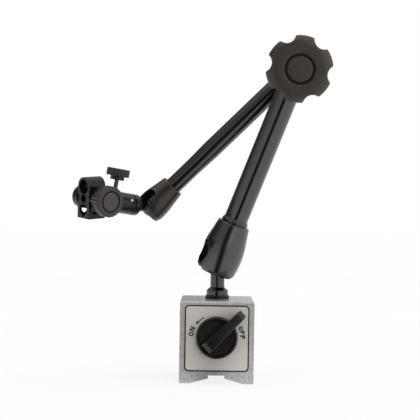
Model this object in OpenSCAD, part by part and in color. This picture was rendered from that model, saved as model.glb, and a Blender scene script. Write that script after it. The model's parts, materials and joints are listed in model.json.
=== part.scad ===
// Articulated indicator stand on a switchable magnetic base.
// Millimetres. X runs across the front, Y towards the back, Z up.
// The origin is the centre of the base's underside.

/* [Base] */
// Width of the base across its front
base_w = 50; // [46:1:60]
// Depth of the base from front to back
base_d = 58; // [56:1:70]
// Height of the base
base_h = 55; // [54:0.5:60]
// Thickness of the brass separator between the two poles
separator_t = 4; // [2:0.5:6]
// Diameter of the bore that the magnet turns in
rotor_bore_d = 28.4; // [24:0.2:29]
// Height of the magnet's axis over the floor
rotor_z = 31.2; // [29:0.1:31.4]
// Width of the name plate
plate_w = 44; // [38:1:46]
// Height of the name plate
plate_h = 45.2; // [38:0.2:46]
// Diameter of the switch knob's disc
switch_d = 28; // [24:1:32]
// Turn of the switch bar from horizontal when it is off
switch_rest = 44; // [40:1:50]

/* [Lower arm] */
// Height of the lower ball's centre over the floor
ball_z = 78.8; // [76:0.2:84]
// Diameter of the lower ball
lower_ball_d = 16; // [15:0.5:16]
// Diameter of the lower ball's neck
lower_neck_d = 9.8; // [8:0.2:9.8]
// Distance from the lower ball to the elbow
lower_len = 145; // [125:1:180]
// Outer diameter of the lower tube
lower_tube_d = 16.4; // [15:0.2:16.4]
// Lean of the lower arm to the right, in the plane of the arms
lower_tilt = 21; // [0:0.5:21]
// Lean of the plane of the arms towards the front
plane_lean = 7; // [0:0.5:8]
// Turn of the lower keyhole slot about the arm
lower_slot_turn = 12.5; // [-60:0.5:60]

/* [Upper arm] */
// Distance from the elbow to the upper ball
upper_len = 140; // [125:1:170]
// Diameter of the upper ball
upper_ball_d = 12; // [11:0.5:12]
// Diameter of the upper ball's neck
upper_neck_d = 7.2; // [6:0.2:7.2]
// Outer diameter of the upper tube at the elbow
upper_tube_d = 13; // [12.6:0.1:13]
// Angle between the two arms
arm_fold = 24.3; // [20:0.1:60]
// Distance between the planes of the two arms
arm_gap = 15; // [15:0.1:16]

/* [Elbow] */
// Diameter of the lobed elbow knob
elbow_knob_d = 44.8; // [40:0.2:50]
// Number of lobes on the elbow knob
lobes = 6; // [5:1:8]
// Diameter of the elbow bolt
elbow_bolt_d = 8; // [7:0.5:8]

/* [Head] */
// Angle from the upper arm's axis to the head's ball stud
stud_bend = 67.7; // [40:0.1:75]
// Turn of the upper keyhole slot about the arm
upper_slot_turn = 45.4; // [0:0.1:60]
// Turn of the head about its ball stud
head_roll = 119.3; // [-180:0.1:180]
// Distance from the upper ball to the stem clamp's bolt
clamp_reach = 56.5; // [56:0.5:70]
// Turn of the stem clamp about its bolt
clamp_turn = 11.3; // [-180:0.1:180]
// Diameter of the indicator stem that the upper eye holds
stem_d = 9.53; // [8:0.01:9.6]
// Diameter of the rod that the lower eye and the cross hole hold
small_stem_d = 8; // [6:0.1:8]

/* [Hidden] */
$fn = 64;

// Clearances: for parts that slide or turn, and for parts that are fixed together
run = 0.05;
fix = 0.01;
// Overshoot of a cut past the face that it opens
cut = 1;

// Base
edge = 1;
foot_w = 7;
channel_w = 11;
channel_h = 5.5;
vee_top_w = 12;
vee_h = 3.4;
plate_z = 30.4;
plate_t = 0.5;
plate_round = 3.4;
front_wall = 5;
spindle_d = 8;
bush_d = 14;
rotor_clear = 0.2;
magnet_len = base_d - front_wall - 3;
rotor_end = base_d / 2 - 4.2;
spindle_tail_d = 6;
cover_size = 42;
cover_t = 2;
cover_screw_pitch = 33;
cover_screw_d = 3;
stop_pin_r = 10;
stop_pin_d = 2.4;
post_thread_d = 8;
post_thread_len = 8.4;
washer_d = 16.6;
washer_t = 2.4;
collar_d = 15;
collar_top = 6.1;
neck_start = 8;

// Switch knob
switch_disc_t = 5.5;
switch_rim = 2;
switch_recess = 1.6;
switch_bar_h = 12.5;
switch_bar_wide = 8;
switch_bar_thin = 5.4;
switch_bar_back = 10.6;
switch_bar_tip = 24;
switch_gap = 0.15;
switch_bore = 3.4;
switch_pin_d = 1.8;
switch_pin_len = 14;
switch_pin_z = 1.9;

// Ball sockets: what each number of a shell's list is
RIM_Z = 0;
RIM_R = 1;
BARREL_TOP = 2;
WIDE_R = 3;
WIDE_Z = 4;
ARC_R = 5;
LIP_Z = 6;
MOUTH_Z = 7;
MOUTH_R = 8;
lower_shell = [30.4, 11.2, 17.1, 14.6, 7, 60, -4.2, -7, 12];
upper_shell = [22, 8.2, 9.5, 10.8, 2.3, 41, -2.9, -4.8, 8.8];
mouth_cone = 26.5;
seat_overlap = 0.3;
lower_hole_z = 6;
upper_hole_z = 4.4;
slot_clear = 0.55;
chamber_top = [19, 13.5];
lower_shoe = [4.6, 15];
upper_shoe = [3.4, 10];
lower_rod_d = 6;
upper_rod_d = 4.8;
rod_clear = 0.3;

// Arm tubes
lower_bore_d = 13.2;
upper_bore_d = 9.84;
lock_ring_d = 18.4;
lock_ring_h = 3.6;
shank_len = 12;
upper_waist_d = 12;
waist_from = 41.4;
waist_to = 58.6;

// Elbow: y positions are measured from the lower arm's axis, front is negative
lower_head_d = 22;
upper_head_d = 19;
lower_face = 8.2;
upper_front = 8.5;
upper_back = 21.5;
shoulder = 12;
cone_slope = 30;
front_cone_r = 7;
front_cone_y = [-9.8, -4, 0.2];
front_bore_end = 4;
friction_d = 18;
friction_sink = 0.6;
rear_cone_r = 6;
rear_cone_y = [14.43, 17.2, 23];
rear_bore_start = 12;
bolt_head_y = 28.5;
bolt_head_d = 15;
knob_back = -9.85;
knob_disc_back = -14;
knob_face = -27;
knob_hub_d = 23;
knob_rim = 4.4;
knob_bevel = 3.6;
scallop_r = 6.5;
scallop_bottom = 18.5;
knob_cap_d = 16.8;
knob_ring_d = 20.5;
knob_ring_depth = 1.8;
knob_pocket = 5.4;
insert_d = 13;
insert_len = 12.8;
bolt_front = -22;
bolt_hex = 6.9;
bolt_hex_depth = 3.4;
lower_rod_top = lower_len - 5.05;
upper_rod_top = upper_len - 5.1;

// Head: a runs along the ball stud, b along the clamp bolt, c across both
collar_a = [12.5, 14.4, 18.6];
head_d = 14.6;
body_a = [19.4, 39.5];
tongue_t = 6;
tongue_top = 4.9;
tongue_low_top = 2.6;
tongue_bottom = -3.6;
tongue_step = 8;
tongue_len = 18.9;
tongue_room = 0.9;
stud_thread_d = 5;
stud_thread_end = 16.9;
pin_len = 13.5;
oil_hole_d = 1.5;
spring_pocket_d = 3.8;
pin_a = 23;
pin_c = 3;
pin_d = 2;
thumb_a = 34;
thumb_hole_d = 3;
thumb_screw_d = 2.9;
thumb_screw_c = 4.3;
thumb_screw_len = 16.5;
thumb_pad_d = 2.8;
thumb_pad_c = 2.65;
thumb_pad_t = 1.6;
thumb_head_c = 14.9;
thumb_head_d = 15.7;
thumb_head_t = 5.2;
thumb_collar_d = 9.6;
thumb_collar_t = 2.6;
thumb_flutes = 16;
spring_mean_d = 2.9;
spring_wire_d = 0.45;
spring_len = 4.8;
blade_b = [-6.2, -1.2];
blade_d = 15;
clamp_b = [-1, 11.6];
clamp_half = 6.6;
eye_up = 8;
small_eye_up = -7.3;
clamp_foot = -13.2;
bolt_eye_d = 5.5;
slit_t = 1.6;
cross_hole_d = 6;
cross_hole_a = 1.8;
clamp_bolt_d = 5;
clamp_bolt_head_d = 9;
clamp_bolt_head_t = 2.4;
clamp_washer_d = 11;
clamp_knob_b = [12.75, 20.5, 27];
clamp_knob_d = 20.6;
clamp_flutes = 24;
clamp_hub_d = 13.4;
clamp_hub_flutes = 12;
clamp_insert_d = 8;
clamp_insert_len = 9.9;
clamp_bore_len = 11.5;
clamp_cap_d = 12.7;
clamp_cap_gap = 0.75;
clamp_recess = 1.2;
eye_clear = 0.03;

// ---------- Shared shapes ----------

// A disc along +Y from y0 to y1
module disc_y(d, y0, y1) {
    translate([0, y0, 0])
        rotate([-90, 0, 0])
            cylinder(d = d, h = y1 - y0);
}

// A cone along +Y
module cone_y(d0, d1, y0, y1) {
    translate([0, y0, 0])
        rotate([-90, 0, 0])
            cylinder(d1 = d0, d2 = d1, h = y1 - y0);
}

// A disc along +X from x0 to x1
module disc_x(d, x0, x1) {
    translate([x0, 0, 0])
        rotate([0, 90, 0])
            cylinder(d = d, h = x1 - x0);
}

// A tube along +Z
module tube_z(outer_d, inner_d, z0, z1) {
    difference() {
        translate([0, 0, z0])
            cylinder(d = outer_d, h = z1 - z0);
        translate([0, 0, z0 - cut])
            cylinder(d = inner_d, h = z1 - z0 + 2 * cut);
    }
}

// A coil spring along +Z: a round wire swept along a helix, with flat cut ends
module coil(mean_d, wire_d, height, turns) {
    sides = 10;
    steps = 20 * turns;
    rise = height - wire_d;
    wire = [
        for (i = [0 : steps])
            for (j = [0 : sides - 1])
                let (turn = 360 * turns * i / steps, around = 360 * j / sides)
                let (r = mean_d / 2 + wire_d / 2 * cos(around))
                [
                    r * cos(turn), r * sin(turn),
                    wire_d / 2 + rise * i / steps + wire_d / 2 * sin(around)
                ]
    ];
    skin = [
        for (i = [0 : steps - 1])
            for (j = [0 : sides - 1])
                let (k = (j + 1) % sides)
                each [
                    [i * sides + j, (i + 1) * sides + j, (i + 1) * sides + k],
                    [i * sides + j, (i + 1) * sides + k, i * sides + k]
                ]
    ];
    first = [for (j = [0 : sides - 1]) j];
    last = [for (j = [sides - 1 : -1 : 0]) steps * sides + j];
    polyhedron(points = wire, faces = concat(skin, [first, last]));
}

// A disc along +Z with half-round flutes round its rim
module fluted_disc(d, h, flutes, flute_d, bevel) {
    difference() {
        rotate_extrude()
            polygon([
                [0, 0], [d / 2 - bevel, 0], [d / 2, bevel],
                [d / 2, h - bevel], [d / 2 - bevel, h], [0, h]
            ]);
        for (i = [0 : flutes - 1])
            rotate([0, 0, 360 * i / flutes])
                translate([d / 2 + flute_d * 0.18, 0, -cut])
                    cylinder(d = flute_d, h = h + 2 * cut, $fn = 24);
    }
}

// Half section of a ball socket's outside: a lipped mouth, a barrel and a cone up to the rim
module socket_section(s) {
    top = s[BARREL_TOP];
    top_r = s[WIDE_R] - s[ARC_R] + sqrt(pow(s[ARC_R], 2) - pow(top - s[WIDE_Z], 2));
    intersection() {
        translate([s[WIDE_R] - s[ARC_R], s[WIDE_Z]])
            circle(r = s[ARC_R], $fn = 360);
        polygon([
            [0, s[MOUTH_Z]], [s[MOUTH_R], s[MOUTH_Z] + 0.9], [s[MOUTH_R] + 1, s[LIP_Z] - 0.6],
            [s[WIDE_R] - 0.7, s[LIP_Z] + 0.6], [s[WIDE_R] + 1, s[WIDE_Z]],
            [s[WIDE_R] + 1, top], [0, top]
        ]);
    }
    polygon([
        [0, top - 1], [top_r - 1, top - 1], [top_r, top],
        [s[RIM_R], s[RIM_Z] - 0.4], [s[RIM_R] - 0.4, s[RIM_Z]], [0, s[RIM_Z]]
    ]);
}

// Half section of a socket's inside: mouth, ball seat, shoe chamber and push rod guide
module cavity_section(s, ball_r, seat, chamber, guide_r, guide_end) {
    seat_r = ball_r * sin(seat);
    seat_z = -ball_r * cos(seat);
    mouth_z = s[MOUTH_Z] - cut;
    mouth_r = seat_r + (seat_z - mouth_z) * tan(mouth_cone);
    in_r = seat_r - seat_overlap * tan(mouth_cone);
    polygon([
        [0, mouth_z], [mouth_r, mouth_z],
        [in_r, seat_z + seat_overlap], [0, seat_z + seat_overlap]
    ]);
    intersection() {
        circle(r = ball_r, $fn = 128);
        translate([0, -2 * ball_r])
            square([2 * ball_r, 2 * ball_r]);
    }
    square([ball_r, chamber]);
    square([guide_r, guide_end]);
}

// A ball socket with its mouth towards -Z and its keyhole towards +X
module ball_socket(s, ball_d, neck_d, hole_z, chamber, shank_d, shank_end, rod_d) {
    ball_r = ball_d / 2 + run;
    seat = mouth_cone + asin(neck_d / ball_d) + 0.6;
    difference() {
        union() {
            rotate_extrude()
                socket_section(s);
            translate([0, 0, s[RIM_Z] - cut])
                cylinder(d = shank_d, h = shank_end - s[RIM_Z] + cut);
        }
        rotate_extrude()
            cavity_section(s, ball_r, seat, chamber, rod_d / 2 + rod_clear, shank_end + cut);
        // Keyhole: the ball goes in at the round hole, the neck leans into the slot
        translate([0, 0, hole_z])
            rotate([0, 90, 0])
                cylinder(r = ball_r + 0.25, h = s[WIDE_R] + cut);
        translate([0, -neck_d / 2 - slot_clear, s[MOUTH_Z] - cut])
            cube([s[WIDE_R] + cut, neck_d + 2 * slot_clear, hole_z - s[MOUTH_Z] + cut]);
    }
}

// A shoe that bears on a ball with a hollow face
module ball_shoe(ball_d, span) {
    difference() {
        translate([0, 0, span[0]])
            cylinder(d = ball_d - 0.1, h = span[1] - span[0]);
        sphere(d = ball_d + 2 * run, $fn = 96);
    }
}

// A push rod whose tip lies along the elbow cone
module push_rod(d, z0, z1) {
    tip_r = 0.5;
    tip_h = (d / 2 - tip_r) * tan(cone_slope);
    translate([0, 0, z0])
        cylinder(d = d, h = z1 - tip_h - z0);
    translate([0, 0, z1 - tip_h])
        cylinder(r1 = d / 2, r2 = tip_r, h = tip_h);
}

// ---------- Frames ----------

// Lower arm: origin at the lower ball, +Z to the elbow, -Y to the front
module lower_frame() {
    translate([0, 0, ball_z])
        rotate([plane_lean, 0, 0])
            rotate([0, lower_tilt, 0])
                children();
}

// Elbow: the lower arm's frame moved to the elbow axis, which is Y
module elbow_frame() {
    lower_frame()
        translate([0, 0, lower_len])
            children();
}

// Upper arm: origin at the upper ball, +Z to the elbow
module upper_frame() {
    elbow_frame()
        translate([0, arm_gap, 0])
            rotate([0, arm_fold, 0])
                translate([0, 0, -upper_len])
                    children();
}

// Upper slot: the upper arm's frame turned so that +X points out of its keyhole
module upper_slot_frame() {
    upper_frame()
        rotate([0, 0, upper_slot_turn - 180])
            children();
}

// Head: origin at the upper ball, +Z along the ball stud, +X along the clamp bolt
module head_frame() {
    upper_slot_frame()
        rotate([0, 180 - stud_bend, 0])
            rotate([0, 0, head_roll])
                children();
}

// Stem clamp: origin on the clamp bolt, +X along it, +Z along the stem bores
module clamp_frame() {
    head_frame()
        translate([0, 0, clamp_reach])
            rotate([clamp_turn, 0, 0])
                children();
}

// ---------- Base ----------

// Front view of the whole block, with its vee-shaped underside
module block_outline() {
    half = base_w / 2;
    foot = half - foot_w;
    polygon([
        [-half, edge / 2], [-half + edge / 2, 0], [-foot, 0], [-vee_top_w / 2, vee_h],
        [-channel_w / 2, vee_h], [-channel_w / 2, channel_h], [channel_w / 2, channel_h],
        [channel_w / 2, vee_h], [vee_top_w / 2, vee_h], [foot, 0], [half - edge / 2, 0],
        [half, edge / 2], [half, base_h - edge], [half - edge, base_h],
        [-half + edge, base_h], [-half, base_h - edge]
    ]);
}

// Side view of the block with its bevelled edges
module block_side() {
    half = base_d / 2;
    polygon([
        [-half, 0], [half, 0], [half, base_h - edge], [half - edge, base_h],
        [-half + edge, base_h], [-half, base_h - edge]
    ]);
}

module block() {
    intersection() {
        rotate([90, 0, 0])
            translate([0, 0, -base_d / 2])
                linear_extrude(base_d)
                    block_outline();
        rotate([90, 0, 90])
            translate([0, 0, -base_w / 2])
                linear_extrude(base_w)
                    block_side();
    }
}

// Everything that is bored out of the block
module block_bores() {
    translate([0, 0, rotor_z]) {
        disc_y(rotor_bore_d, -base_d / 2 + front_wall, base_d / 2 + cut);
        disc_y(bush_d, -base_d / 2 - cut, base_d / 2);
        translate([-stop_pin_r, 0, 0])
            disc_y(stop_pin_d + 2 * fix, -base_d / 2 + 1.5, 0);
        for (sx = [-1, 1])
            for (sz = [-1, 1])
                translate([sx * cover_screw_pitch / 2, 0, sz * cover_screw_pitch / 2])
                    disc_y(cover_screw_d + 2 * fix, base_d / 2 - 10, base_d / 2 + cut);
    }
    translate([0, 0, base_h - post_thread_len])
        cylinder(d = post_thread_d + 2 * run, h = post_thread_len + cut);
}

// One of the two iron poles: side is -1 for the left one and 1 for the right one
module pole(side) {
    difference() {
        intersection() {
            block();
            translate([side < 0 ? -base_w : separator_t / 2, -base_d, -cut])
                cube([base_w - separator_t / 2, 2 * base_d, base_h + 2 * cut]);
        }
        block_bores();
    }
}

module base_left_pole() {
    color("silver")
        pole(-1);
}

module base_right_pole() {
    color("silver")
        pole(1);
}

// One of the two strips of the separator, over or under the magnet: from z0 to z1
module separator(z0, z1) {
    difference() {
        intersection() {
            block();
            translate([-separator_t / 2, -base_d, z0])
                cube([separator_t, 2 * base_d, z1 - z0]);
        }
        block_bores();
    }
}

module top_separator() {
    color("silver")
        separator(rotor_z, base_h + cut);
}

module bottom_separator() {
    color("goldenrod")
        separator(-cut, rotor_z);
}

// Plate outline with rounded corners, drawn in the front view
module rounded_plate(w, h, r) {
    for (sx = [-1, 1])
        for (sz = [-1, 1])
            translate([sx * (w / 2 - r), sz * (h / 2 - r)])
                circle(r = r);
    square([w, h - 2 * r], center = true);
    square([w - 2 * r, h], center = true);
}

module name_plate() {
    color("gainsboro")
        difference() {
            translate([0, -base_d / 2, plate_z])
                rotate([90, 0, 0])
                    linear_extrude(plate_t)
                        rounded_plate(plate_w, plate_h, plate_round);
            translate([0, 0, rotor_z])
                disc_y(bush_d, -base_d, 0);
        }
}

module back_cover() {
    inset = 1;
    color("dimgray")
        translate([0, 0, rotor_z])
            difference() {
                union() {
                    translate([0, base_d / 2 + cover_t, 0])
                        rotate([90, 0, 0])
                            linear_extrude(cover_t)
                                rounded_plate(cover_size, cover_size, plate_round);
                    disc_y(rotor_bore_d - 2 * fix, base_d / 2 - inset, base_d / 2 + cut);
                }
                disc_y(spindle_tail_d + 2 * run, 0, base_d / 2 + cover_t - 0.6);
                for (sx = [-1, 1])
                    for (sz = [-1, 1])
                        translate([sx * cover_screw_pitch / 2, 0, sz * cover_screw_pitch / 2]) {
                            disc_y(cover_screw_d + 0.4, 0, base_d);
                            cone_y(cover_screw_d + 0.4, 6.6, base_d / 2 + 0.3, base_d / 2 + cover_t);
                        }
            }
}

module back_cover_screws() {
    head = base_d / 2 + cover_t;
    color("dimgray")
        translate([0, 0, rotor_z])
            for (sx = [-1, 1])
                for (sz = [-1, 1])
                    translate([sx * cover_screw_pitch / 2, 0, sz * cover_screw_pitch / 2])
                        difference() {
                            union() {
                                disc_y(cover_screw_d, base_d / 2 - 9, head - 1);
                                cone_y(cover_screw_d, 6, head - 1.6, head - 0.1);
                            }
                            translate([-0.4, head - 0.9, -4])
                                cube([0.8, 2, 8]);
                        }
}

module spindle_bush() {
    color("goldenrod")
        translate([0, 0, rotor_z])
            difference() {
                disc_y(bush_d - 2 * fix, -base_d / 2 - plate_t, -base_d / 2 + front_wall);
                disc_y(spindle_d + 2 * run, -base_d, 0);
            }
}

module stop_pin() {
    color("silver")
        translate([-stop_pin_r, 0, rotor_z])
            disc_y(stop_pin_d, -base_d / 2 + 2, -base_d / 2 + front_wall + 2);
}

// The magnet carries a quarter-turn groove that the stop pin runs in
module magnet_rotor() {
    front = -base_d / 2 + front_wall + rotor_clear;
    groove_d = stop_pin_d + 0.4;
    color("darkslategray")
        translate([0, 0, rotor_z])
            difference() {
                disc_y(rotor_bore_d - 2 * rotor_clear, front, front + magnet_len - cut);
                disc_y(spindle_d + 2 * fix, front - cut, front + magnet_len + cut);
                // Quarter ring from the off stop to the on stop
                intersection() {
                    difference() {
                        disc_y(2 * stop_pin_r + groove_d, front - cut, front + 2.2);
                        disc_y(2 * stop_pin_r - groove_d, front - cut, front + 2.2);
                    }
                    translate([-2 * stop_pin_r, front - cut, 0])
                        cube([2 * stop_pin_r, 4, 2 * stop_pin_r]);
                }
                for (p = [[-stop_pin_r, 0], [0, stop_pin_r]])
                    translate([p[0], 0, p[1]])
                        disc_y(groove_d, front - cut, front + 2.2);
            }
}

module rotor_spindle() {
    knob_y = -base_d / 2 - plate_t - switch_gap;
    color("goldenrod")
        translate([0, 0, rotor_z])
            difference() {
                union() {
                    disc_y(spindle_d, knob_y - switch_bore + run, rotor_end);
                    disc_y(spindle_tail_d, rotor_end - cut, base_d / 2 + cover_t - 0.8);
                }
                translate([0, knob_y - switch_pin_z, -spindle_d])
                    cylinder(d = switch_pin_d + 2 * fix, h = 2 * spindle_d);
            }
}

module switch_knob_pin() {
    color("silver")
        translate([0, -base_d / 2 - plate_t - switch_gap - switch_pin_z, rotor_z - switch_pin_len / 2])
            cylinder(d = switch_pin_d, h = switch_pin_len);
}

// Top view of the bar: wide at its back end and thin at its tip
module switch_bar_outline(grow) {
    polygon([
        [-switch_bar_back, -switch_bar_wide / 2 - grow], [switch_bar_tip, -switch_bar_thin / 2 - grow],
        [switch_bar_tip, switch_bar_thin / 2 + grow], [-switch_bar_back, switch_bar_wide / 2 + grow]
    ]);
}

// Side view of the bar with its bevelled ends
module switch_bar_side() {
    polygon([
        [-switch_bar_back, 0], [switch_bar_tip - 2, 1.5], [switch_bar_tip, 4],
        [switch_bar_tip, switch_bar_h - 3], [switch_bar_tip - 2.6, switch_bar_h],
        [-switch_bar_back + 3.4, switch_bar_h], [-switch_bar_back, switch_bar_h - 3.6]
    ]);
}

module switch_knob() {
    back = -base_d / 2 - plate_t - switch_gap;
    inner = switch_d / 2 - switch_rim;
    color("#1c1c1c")
        translate([0, back, rotor_z])
            rotate([90, -switch_rest, 0])
                difference() {
                    union() {
                        rotate_extrude()
                            polygon([
                                [0, 0], [switch_d / 2, 0], [switch_d / 2, switch_disc_t - 0.8],
                                [switch_d / 2 - 0.8, switch_disc_t], [inner + 0.3, switch_disc_t],
                                [inner, switch_disc_t - switch_recess], [0, switch_disc_t - switch_recess]
                            ]);
                        intersection() {
                            linear_extrude(switch_bar_h)
                                switch_bar_outline(0);
                            translate([0, switch_bar_wide, 0])
                                rotate([90, 0, 0])
                                    linear_extrude(2 * switch_bar_wide)
                                        switch_bar_side();
                        }
                    }
                    translate([0, 0, -cut])
                        cylinder(d = spindle_d + 2 * fix, h = switch_bore + cut);
                    rotate([0, 0, -switch_rest])
                        translate([0, switch_pin_len / 2 + fix, switch_pin_z])
                            rotate([90, 0, 0])
                                cylinder(d = switch_pin_d + 2 * fix, h = switch_pin_len + 2 * fix);
                }
}

// ---------- Post ----------

module post_washer() {
    color("#2b2b2b")
        difference() {
            translate([0, 0, base_h])
                rotate_extrude()
                    polygon([
                        [0, 0], [washer_d / 2, 0], [washer_d / 2, washer_t - 0.4],
                        [washer_d / 2 - 0.4, washer_t], [0, washer_t]
                    ]);
            translate([0, 0, base_h - cut])
                cylinder(d = post_thread_d + 2 * run, h = washer_t + 2 * cut);
        }
}

module lower_ball_stud() {
    color("#2b2b2b")
        translate([0, 0, base_h]) {
            translate([0, 0, 0.5 - post_thread_len])
                cylinder(d = post_thread_d, h = post_thread_len + washer_t);
            rotate_extrude()
                polygon([
                    [0, washer_t], [collar_d / 2, washer_t], [collar_d / 2, collar_top - 0.5],
                    [collar_d / 2 - 0.5, collar_top], [lower_neck_d / 2, neck_start],
                    [lower_neck_d / 2, ball_z - base_h], [0, ball_z - base_h]
                ]);
            translate([0, 0, ball_z - base_h])
                sphere(d = lower_ball_d, $fn = 96);
        }
}

// ---------- Lower arm ----------

module lower_ball_shoe() {
    color("goldenrod")
        lower_frame()
            ball_shoe(lower_ball_d, lower_shoe);
}

module lower_socket() {
    color("#2e2c2d")
        lower_frame()
            rotate([0, 0, 180 + lower_slot_turn])
                ball_socket(
                    lower_shell, lower_ball_d, lower_neck_d, lower_hole_z, chamber_top[0],
                    lower_bore_d - 2 * fix, lower_shell[RIM_Z] + lock_ring_h + shank_len, lower_rod_d
                );
}

module lower_lock_ring() {
    z0 = lower_shell[RIM_Z];
    color("#2e2c2d")
        lower_frame()
            difference() {
                translate([0, 0, z0])
                    rotate_extrude()
                        polygon([
                            [0, 0], [lock_ring_d / 2, 0], [lock_ring_d / 2, lock_ring_h - 1.6],
                            [lock_ring_d / 2 - 0.9, lock_ring_h], [0, lock_ring_h]
                        ]);
                translate([0, 0, z0 - cut])
                    cylinder(d = lower_bore_d, h = lock_ring_h + 2 * cut);
            }
}

module lower_tube() {
    color("#2e2c2d")
        lower_frame()
            tube_z(lower_tube_d, lower_bore_d, lower_shell[RIM_Z] + lock_ring_h, lower_len - shoulder);
}

module lower_push_rod() {
    color("silver")
        lower_frame()
            push_rod(lower_rod_d, lower_shoe[1] + run, lower_rod_top);
}

module lower_elbow_head() {
    color("#2e2c2d")
        elbow_frame()
            difference() {
                union() {
                    disc_y(lower_head_d, -lower_face, lower_face);
                    translate([0, 0, -shoulder])
                        cylinder(d = lower_tube_d, h = shoulder);
                    translate([0, 0, -shoulder - shank_len])
                        cylinder(d = lower_bore_d - 2 * fix, h = shank_len + cut);
                }
                disc_y(2 * front_cone_r + 2 * run, -lower_face - cut, front_bore_end);
                disc_y(elbow_bolt_d + 2 * run, 0, lower_face + cut);
                disc_y(friction_d + 2 * fix, lower_face - friction_sink, lower_face + cut);
                translate([0, 0, -shoulder - shank_len - cut])
                    cylinder(d = lower_rod_d + 2 * rod_clear, h = shoulder + shank_len);
            }
}

// ---------- Elbow ----------

module front_cone() {
    y = front_cone_y;
    thin_r = front_cone_r - (y[2] - y[1]) * tan(cone_slope);
    color("silver")
        elbow_frame()
            difference() {
                union() {
                    disc_y(2 * front_cone_r, y[0], y[1]);
                    cone_y(2 * front_cone_r, 2 * thin_r, y[1], y[2]);
                }
                disc_y(elbow_bolt_d + 2 * run, y[0] - cut, y[2] + cut);
            }
}

module front_spring() {
    color("lightgray")
        elbow_frame()
            translate([0, front_cone_y[2] + run, 0])
                rotate([-90, 0, 0])
                    coil(elbow_bolt_d + 0.95, 0.62, front_bore_end - front_cone_y[2] - 2 * run, 3);
}

// Section of the elbow knob from its back face to its front face
module knob_section() {
    r = elbow_knob_d / 2;
    face = knob_back - knob_face;
    disc = knob_back - knob_disc_back;
    polygon([
        [0, 0], [knob_hub_d / 2, 0], [knob_hub_d / 2 + 0.8, disc], [r - 2.4, disc],
        [r, disc + 2.2], [r, face - knob_bevel], [r - 0.9, face - knob_bevel + 1.5],
        [r - knob_rim, face], [0, face]
    ]);
}

module elbow_knob() {
    face = knob_back - knob_face;
    color("#2a2a28")
        elbow_frame()
            translate([0, knob_back, 0])
                rotate([90, 0, 0])
                    difference() {
                        rotate_extrude()
                            knob_section();
                        for (i = [0 : lobes - 1])
                            rotate([0, 0, 360 * i / lobes + 12])
                                translate([scallop_bottom + scallop_r, 0, knob_back - knob_disc_back - cut])
                                    cylinder(r = scallop_r, h = face);
                        translate([0, 0, -cut])
                            cylinder(d = insert_d + 2 * fix, h = insert_len + 0.2 + cut);
                        translate([0, 0, face - knob_ring_depth - knob_pocket])
                            cylinder(d = knob_cap_d - 2, h = face);
                        translate([0, 0, face - knob_ring_depth])
                            cylinder(d = knob_ring_d, h = knob_ring_depth + cut);
                    }
}

module elbow_knob_insert() {
    color("goldenrod")
        elbow_frame()
            difference() {
                disc_y(insert_d, knob_back - insert_len, knob_back);
                disc_y(elbow_bolt_d + 2 * run, knob_back - insert_len - cut, knob_back + cut);
            }
}

module elbow_knob_cap() {
    stub = 2.4;
    color("#333333")
        elbow_frame()
            translate([0, knob_face, 0])
                rotate([-90, 0, 0])
                    rotate_extrude()
                        polygon([
                            [0, 0.1], [knob_cap_d / 2 - 0.5, 0.1], [knob_cap_d / 2, 0.6],
                            [knob_cap_d / 2, knob_ring_depth - fix],
                            [knob_cap_d / 2 - 1 - fix, knob_ring_depth - fix],
                            [knob_cap_d / 2 - 1 - fix, knob_ring_depth + stub],
                            [0, knob_ring_depth + stub]
                        ]);
}

module friction_washer() {
    color("goldenrod")
        elbow_frame()
            difference() {
                disc_y(friction_d, lower_face - friction_sink, upper_front + friction_sink - run);
                disc_y(elbow_bolt_d + 2 * run, 0, 2 * upper_front);
            }
}

module elbow_bolt() {
    color("#2b2b2b")
        elbow_frame()
            difference() {
                union() {
                    disc_y(elbow_bolt_d, bolt_front, bolt_head_y - bolt_hex_depth);
                    disc_y(bolt_head_d, rear_cone_y[2] + fix, bolt_head_y - 1.2);
                    cone_y(bolt_head_d, bolt_head_d - 2.4, bolt_head_y - 1.2, bolt_head_y);
                }
                translate([0, bolt_head_y - bolt_hex_depth, 0])
                    rotate([-90, 0, 0])
                        cylinder(d = bolt_hex, h = bolt_hex_depth + cut, $fn = 6);
            }
}

module rear_cone() {
    y = rear_cone_y;
    thin_r = rear_cone_r - (y[1] - y[0]) * tan(cone_slope);
    color("silver")
        elbow_frame()
            difference() {
                union() {
                    disc_y(2 * rear_cone_r, y[1], y[2]);
                    cone_y(2 * thin_r, 2 * rear_cone_r, y[0], y[1]);
                }
                disc_y(elbow_bolt_d + 2 * fix, y[0] - cut, y[2] + cut);
            }
}

module rear_spring() {
    color("lightgray")
        elbow_frame()
            translate([0, rear_bore_start + run, 0])
                rotate([-90, 0, 0])
                    coil(elbow_bolt_d + 0.8, 0.5, rear_cone_y[0] - rear_bore_start - 2 * run, 2);
}

// ---------- Upper arm ----------

module upper_elbow_head() {
    front = upper_front - arm_gap;
    back = upper_back - arm_gap;
    color("#2e2c2d")
        upper_frame()
            translate([0, 0, upper_len])
                difference() {
                    union() {
                        disc_y(upper_head_d, front, back);
                        translate([0, 0, -shoulder])
                            cylinder(d = upper_tube_d, h = shoulder);
                        translate([0, 0, -shoulder - shank_len])
                            cylinder(d = upper_bore_d - 2 * fix, h = shank_len + cut);
                    }
                    disc_y(elbow_bolt_d + 2 * run, front - cut, 0);
                    disc_y(2 * rear_cone_r + 2 * run, rear_bore_start - arm_gap, back + cut);
                    disc_y(friction_d + 2 * run, front - cut, front + friction_sink);
                    translate([0, 0, -shoulder - shank_len - cut])
                        cylinder(d = upper_rod_d + 2 * rod_clear, h = shoulder + shank_len);
                }
}

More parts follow.
